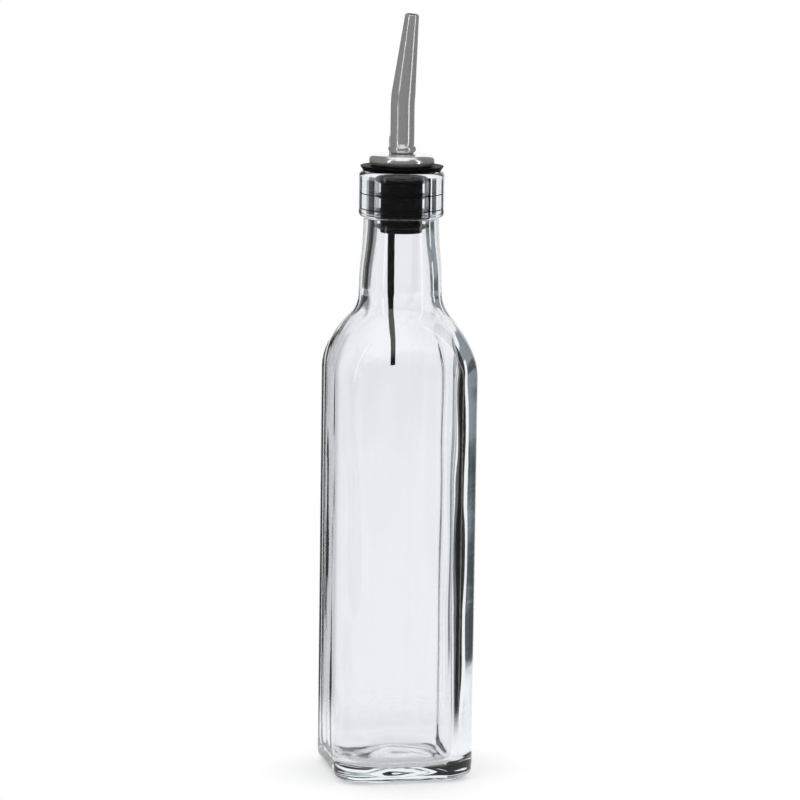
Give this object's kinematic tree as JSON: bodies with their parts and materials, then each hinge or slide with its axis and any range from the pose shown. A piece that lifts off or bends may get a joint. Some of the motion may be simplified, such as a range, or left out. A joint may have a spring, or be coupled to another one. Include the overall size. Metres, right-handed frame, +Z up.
{
  "type": "glass oil bottle",
  "caption": "Tall square clear-glass oil bottle with rounded shoulders and a lift-out pourer: finned black stopper, domed steel collar, bent tapered spout, and an air vent with a hanging tail.",
  "frame": {"origin": "middle of the base, on the surface that the bottle stands on", "axes": "+Z up the bottle's axis, -Y out of the front face"},
  "size_m": [0.048, 0.048, 0.26],
  "materials": {
    "clear_glass": "clear, smooth, very slightly green at the edges",
    "black_rubber": "moulded, satin",
    "polished_steel": "pressed and polished",
    "satin_steel": "drawn, satin",
    "black_plastic": "extruded, matt"
  },
  "bodies": {
    "bottle": {"glass_bottle": "clear_glass"},
    "pourer": {"stopper": "black_rubber", "collar": "polished_steel", "pour_spout": "satin_steel", "vent_pipe": "satin_steel", "vent_tail": "black_plastic"}
  },
  "joints": [
    {"name": "pourer_lift", "type": "slide", "parent": "bottle", "child": "pourer", "axis": [0, 0, 1], "range_m": [0, 0.075]}
  ]
}
